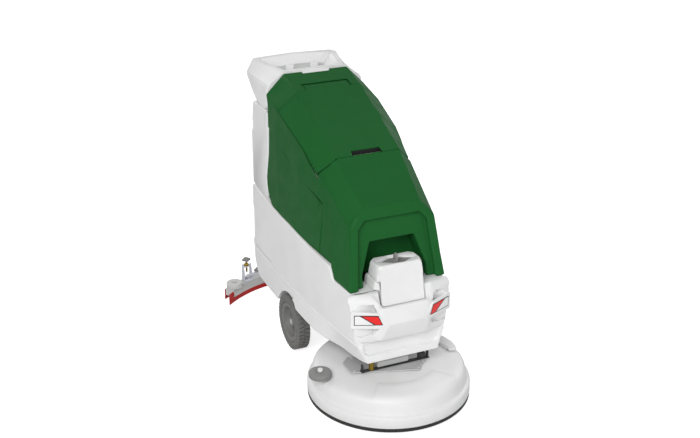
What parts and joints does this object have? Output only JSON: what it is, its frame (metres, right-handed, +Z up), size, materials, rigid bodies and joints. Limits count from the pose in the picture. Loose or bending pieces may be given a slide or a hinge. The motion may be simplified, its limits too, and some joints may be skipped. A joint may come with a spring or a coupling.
{
  "type": "floor scrubber",
  "caption": "Walk-behind wet dry floor scrubber: round brush deck in front, faceted tank body on wheels, hinged lid, rear console and a curved trailing squeegee.",
  "frame": {"origin": "on the floor, in the middle of the footprint", "axes": "+Z up, front of the machine towards -Y, +X to the operator's right when facing +Y backwards, that is the image right"},
  "size_m": [0.6034, 1.2776, 0.994],
  "materials": {
    "white_plastic": "satin moulded white",
    "green_plastic": "satin moulded green",
    "pale_plastic": "satin light grey",
    "grey_plastic": "satin mid grey",
    "black_plastic": "satin black",
    "reflector": "glossy printed film, red and white with a black edge",
    "steel": "plain zinc-plated steel",
    "yellow_zinc": "yellow passivated zinc",
    "bracket_steel": "pale grey powder coat",
    "dark_metal": "black painted steel",
    "tyre_rubber": "grey non-marking rubber",
    "hub_plastic": "moulded grey nylon",
    "red_rubber": "red polyurethane squeegee rubber",
    "bristle": "nylon bristle",
    "battery_case": "black moulded case"
  },
  "bodies": {
    "chassis": {"solution_tank": "white_plastic", "front_fascia": "white_plastic", "lamp_bezels": "white_plastic", "reflector_plates": "reflector", "chassis_frame": "dark_metal", "wheel_axle": "steel", "batteries": "battery_case", "filler_neck": "white_plastic", "filler_hinge_pin": "steel", "tank_hinge_lower": "steel"},
    "filler_cap": {"filler_cap": "white_plastic"},
    "filler_latch": {"filler_latch": "grey_plastic"},
    "tank": {"hood": "green_plastic", "recovery_tank": "white_plastic", "tank_hinge_upper": "steel", "console": "white_plastic", "control_panel": "pale_plastic", "vacuum_motor": "black_plastic"},
    "lid": {"lid": "green_plastic"},
    "button_left": {"panel_button_left": "white_plastic"},
    "button_right": {"panel_button_right": "white_plastic"},
    "lift_arm": {"lift_arm": "dark_metal"},
    "lift_link": {"lift_link": "dark_metal"},
    "deck": {"deck_cover": "white_plastic", "deck_skirt": "black_plastic", "brush_motor": "grey_plastic", "deck_plate": "steel", "deck_lugs": "dark_metal", "release_post": "yellow_zinc", "deck_brackets": "dark_metal", "deck_lever": "white_plastic", "guide_spindle": "white_plastic"},
    "guide_wheel": {"guide_wheel": "grey_plastic"},
    "brush": {"brush_block": "grey_plastic", "brush_bristles": "bristle"},
    "wheel_left": {"tyre_left": "tyre_rubber", "rim_left": "hub_plastic"},
    "wheel_right": {"tyre_right": "tyre_rubber", "rim_right": "hub_plastic"},
    "caster_fork_left": {"caster_fork_left": "steel"},
    "caster_wheel_left": {"caster_wheel_left": "tyre_rubber"},
    "caster_fork_right": {"caster_fork_right": "steel"},
    "caster_wheel_right": {"caster_wheel_right": "tyre_rubber"},
    "squeegee_arm": {"squeegee_arm": "dark_metal"},
    "squeegee": {"squeegee_yoke": "bracket_steel", "squeegee_body": "pale_plastic", "front_blade": "red_rubber", "rear_blade": "red_rubber", "suction_spigot": "grey_plastic", "squeegee_bracket_left": "bracket_steel", "squeegee_bracket_right": "bracket_steel", "height_screws": "yellow_zinc", "roller_bolts": "steel"},
    "height_knob_left": {"height_knob_left": "grey_plastic"},
    "height_knob_right": {"height_knob_right": "grey_plastic"},
    "clamp_knob_left": {"clamp_knob_left": "grey_plastic"},
    "clamp_knob_right": {"clamp_knob_right": "grey_plastic"},
    "end_roller_left": {"end_roller_left": "pale_plastic"},
    "end_roller_right": {"end_roller_right": "pale_plastic"}
  },
  "joints": [
    {"name": "tank_tilt", "type": "hinge", "parent": "chassis", "child": "tank", "pos_m": [0, 0.49425, 0.492], "axis": [1, 0, 0], "range_deg": [-60, 0]},
    {"name": "lid_hinge", "type": "hinge", "parent": "tank", "child": "lid", "pos_m": [0, 0.18175, 0.9615], "axis": [1, 0, 0], "range_deg": [-95, 0]},
    {"name": "filler_cap_hinge", "type": "hinge", "parent": "chassis", "child": "filler_cap", "pos_m": [0, -0.45975, 0.394], "axis": [1, 0, 0], "range_deg": [0, 75]},
    {"name": "filler_latch_turn", "type": "hinge", "parent": "filler_cap", "child": "filler_latch", "pos_m": [0, -0.39575, 0.515], "axis": [0, 0, 1], "range_deg": [0, 90]},
    {"name": "deck_lift", "type": "hinge", "parent": "chassis", "child": "lift_arm", "pos_m": [0, -0.11575, 0.163], "axis": [1, 0, 0], "range_deg": [-8, 0]},
    {"name": "deck_level", "type": "hinge", "parent": "lift_arm", "child": "deck", "pos_m": [0, -0.28575, 0.151], "axis": [1, 0, 0], "range_deg": [0, 8]},
    {"name": "link_swing", "type": "hinge", "parent": "chassis", "child": "lift_link", "pos_m": [0, -0.07175, 0.163], "axis": [1, 0, 0], "range_deg": [-8, 0]},
    {"name": "brush_spin", "type": "hinge", "parent": "deck", "child": "brush", "pos_m": [0, -0.35575, 0.06], "axis": [0, 0, 1], "continuous": true},
    {"name": "guide_wheel_spin", "type": "hinge", "parent": "deck", "child": "guide_wheel", "pos_m": [-0.262, -0.36775, 0.13], "axis": [0, 0, 1], "continuous": true},
    {"name": "wheel_left_spin", "type": "hinge", "parent": "chassis", "child": "wheel_left", "pos_m": [-0.1835, 0.06525, 0.105], "axis": [1, 0, 0], "continuous": true},
    {"name": "wheel_right_spin", "type": "hinge", "parent": "chassis", "child": "wheel_right", "pos_m": [0.1835, 0.06525, 0.105], "axis": [1, 0, 0], "continuous": true},
    {"name": "squeegee_swing", "type": "hinge", "parent": "chassis", "child": "squeegee_arm", "pos_m": [0, 0.28425, 0.14], "axis": [0, 0, 1], "range_deg": [-15, 15]},
    {"name": "squeegee_lift", "type": "hinge", "parent": "squeegee_arm", "child": "squeegee", "pos_m": [0, 0.40425, 0.132], "axis": [1, 0, 0], "range_deg": [0, 12]},
    {"name": "button_left_press", "type": "slide", "parent": "tank", "child": "button_left", "axis": [0, 0, 1], "range_m": [-0.002, 0], "stiffness_N_per_m": 500, "springref_m": 0.001},
    {"name": "button_right_press", "type": "slide", "parent": "tank", "child": "button_right", "axis": [0, 0, 1], "range_m": [-0.002, 0], "stiffness_N_per_m": 500, "springref_m": 0.001},
    {"name": "caster_swivel_left", "type": "hinge", "parent": "chassis", "child": "caster_fork_left", "pos_m": [-0.072, 0.33425, 0.14], "axis": [0, 0, 1], "continuous": true},
    {"name": "caster_spin_left", "type": "hinge", "parent": "caster_fork_left", "child": "caster_wheel_left", "pos_m": [-0.072, 0.36025, 0.04], "axis": [1, 0, 0], "continuous": true},
    {"name": "end_roller_spin_left", "type": "hinge", "parent": "squeegee", "child": "end_roller_left", "pos_m": [-0.26, 0.53025, 0.06], "axis": [0, 0, 1], "continuous": true},
    {"name": "height_knob_turn_left", "type": "hinge", "parent": "squeegee", "child": "height_knob_left", "pos_m": [-0.19, 0.5775, 0.138], "axis": [0, 0, 1], "range_deg": [-180, 180]},
    {"name": "clamp_knob_turn_left", "type": "hinge", "parent": "squeegee", "child": "clamp_knob_left", "pos_m": [-0.146, 0.56225, 0.09], "axis": [0, 0, 1], "range_deg": [-180, 180]},
    {"name": "caster_swivel_right", "type": "hinge", "parent": "chassis", "child": "caster_fork_right", "pos_m": [0.072, 0.33425, 0.14], "axis": [0, 0, 1], "continuous": true},
    {"name": "caster_spin_right", "type": "hinge", "parent": "caster_fork_right", "child": "caster_wheel_right", "pos_m": [0.072, 0.36025, 0.04], "axis": [1, 0, 0], "continuous": true},
    {"name": "end_roller_spin_right", "type": "hinge", "parent": "squeegee", "child": "end_roller_right", "pos_m": [0.26, 0.53025, 0.06], "axis": [0, 0, 1], "continuous": true},
    {"name": "height_knob_turn_right", "type": "hinge", "parent": "squeegee", "child": "height_knob_right", "pos_m": [0.19, 0.5775, 0.138], "axis": [0, 0, 1], "range_deg": [-180, 180]},
    {"name": "clamp_knob_turn_right", "type": "hinge", "parent": "squeegee", "child": "clamp_knob_right", "pos_m": [0.146, 0.56225, 0.09], "axis": [0, 0, 1], "range_deg": [-180, 180]}
  ],
  "couplings": [
    {"joint": "deck_level", "follows": "deck_lift", "ratio": -1},
    {"joint": "link_swing", "follows": "deck_lift", "ratio": 1}
  ]
}
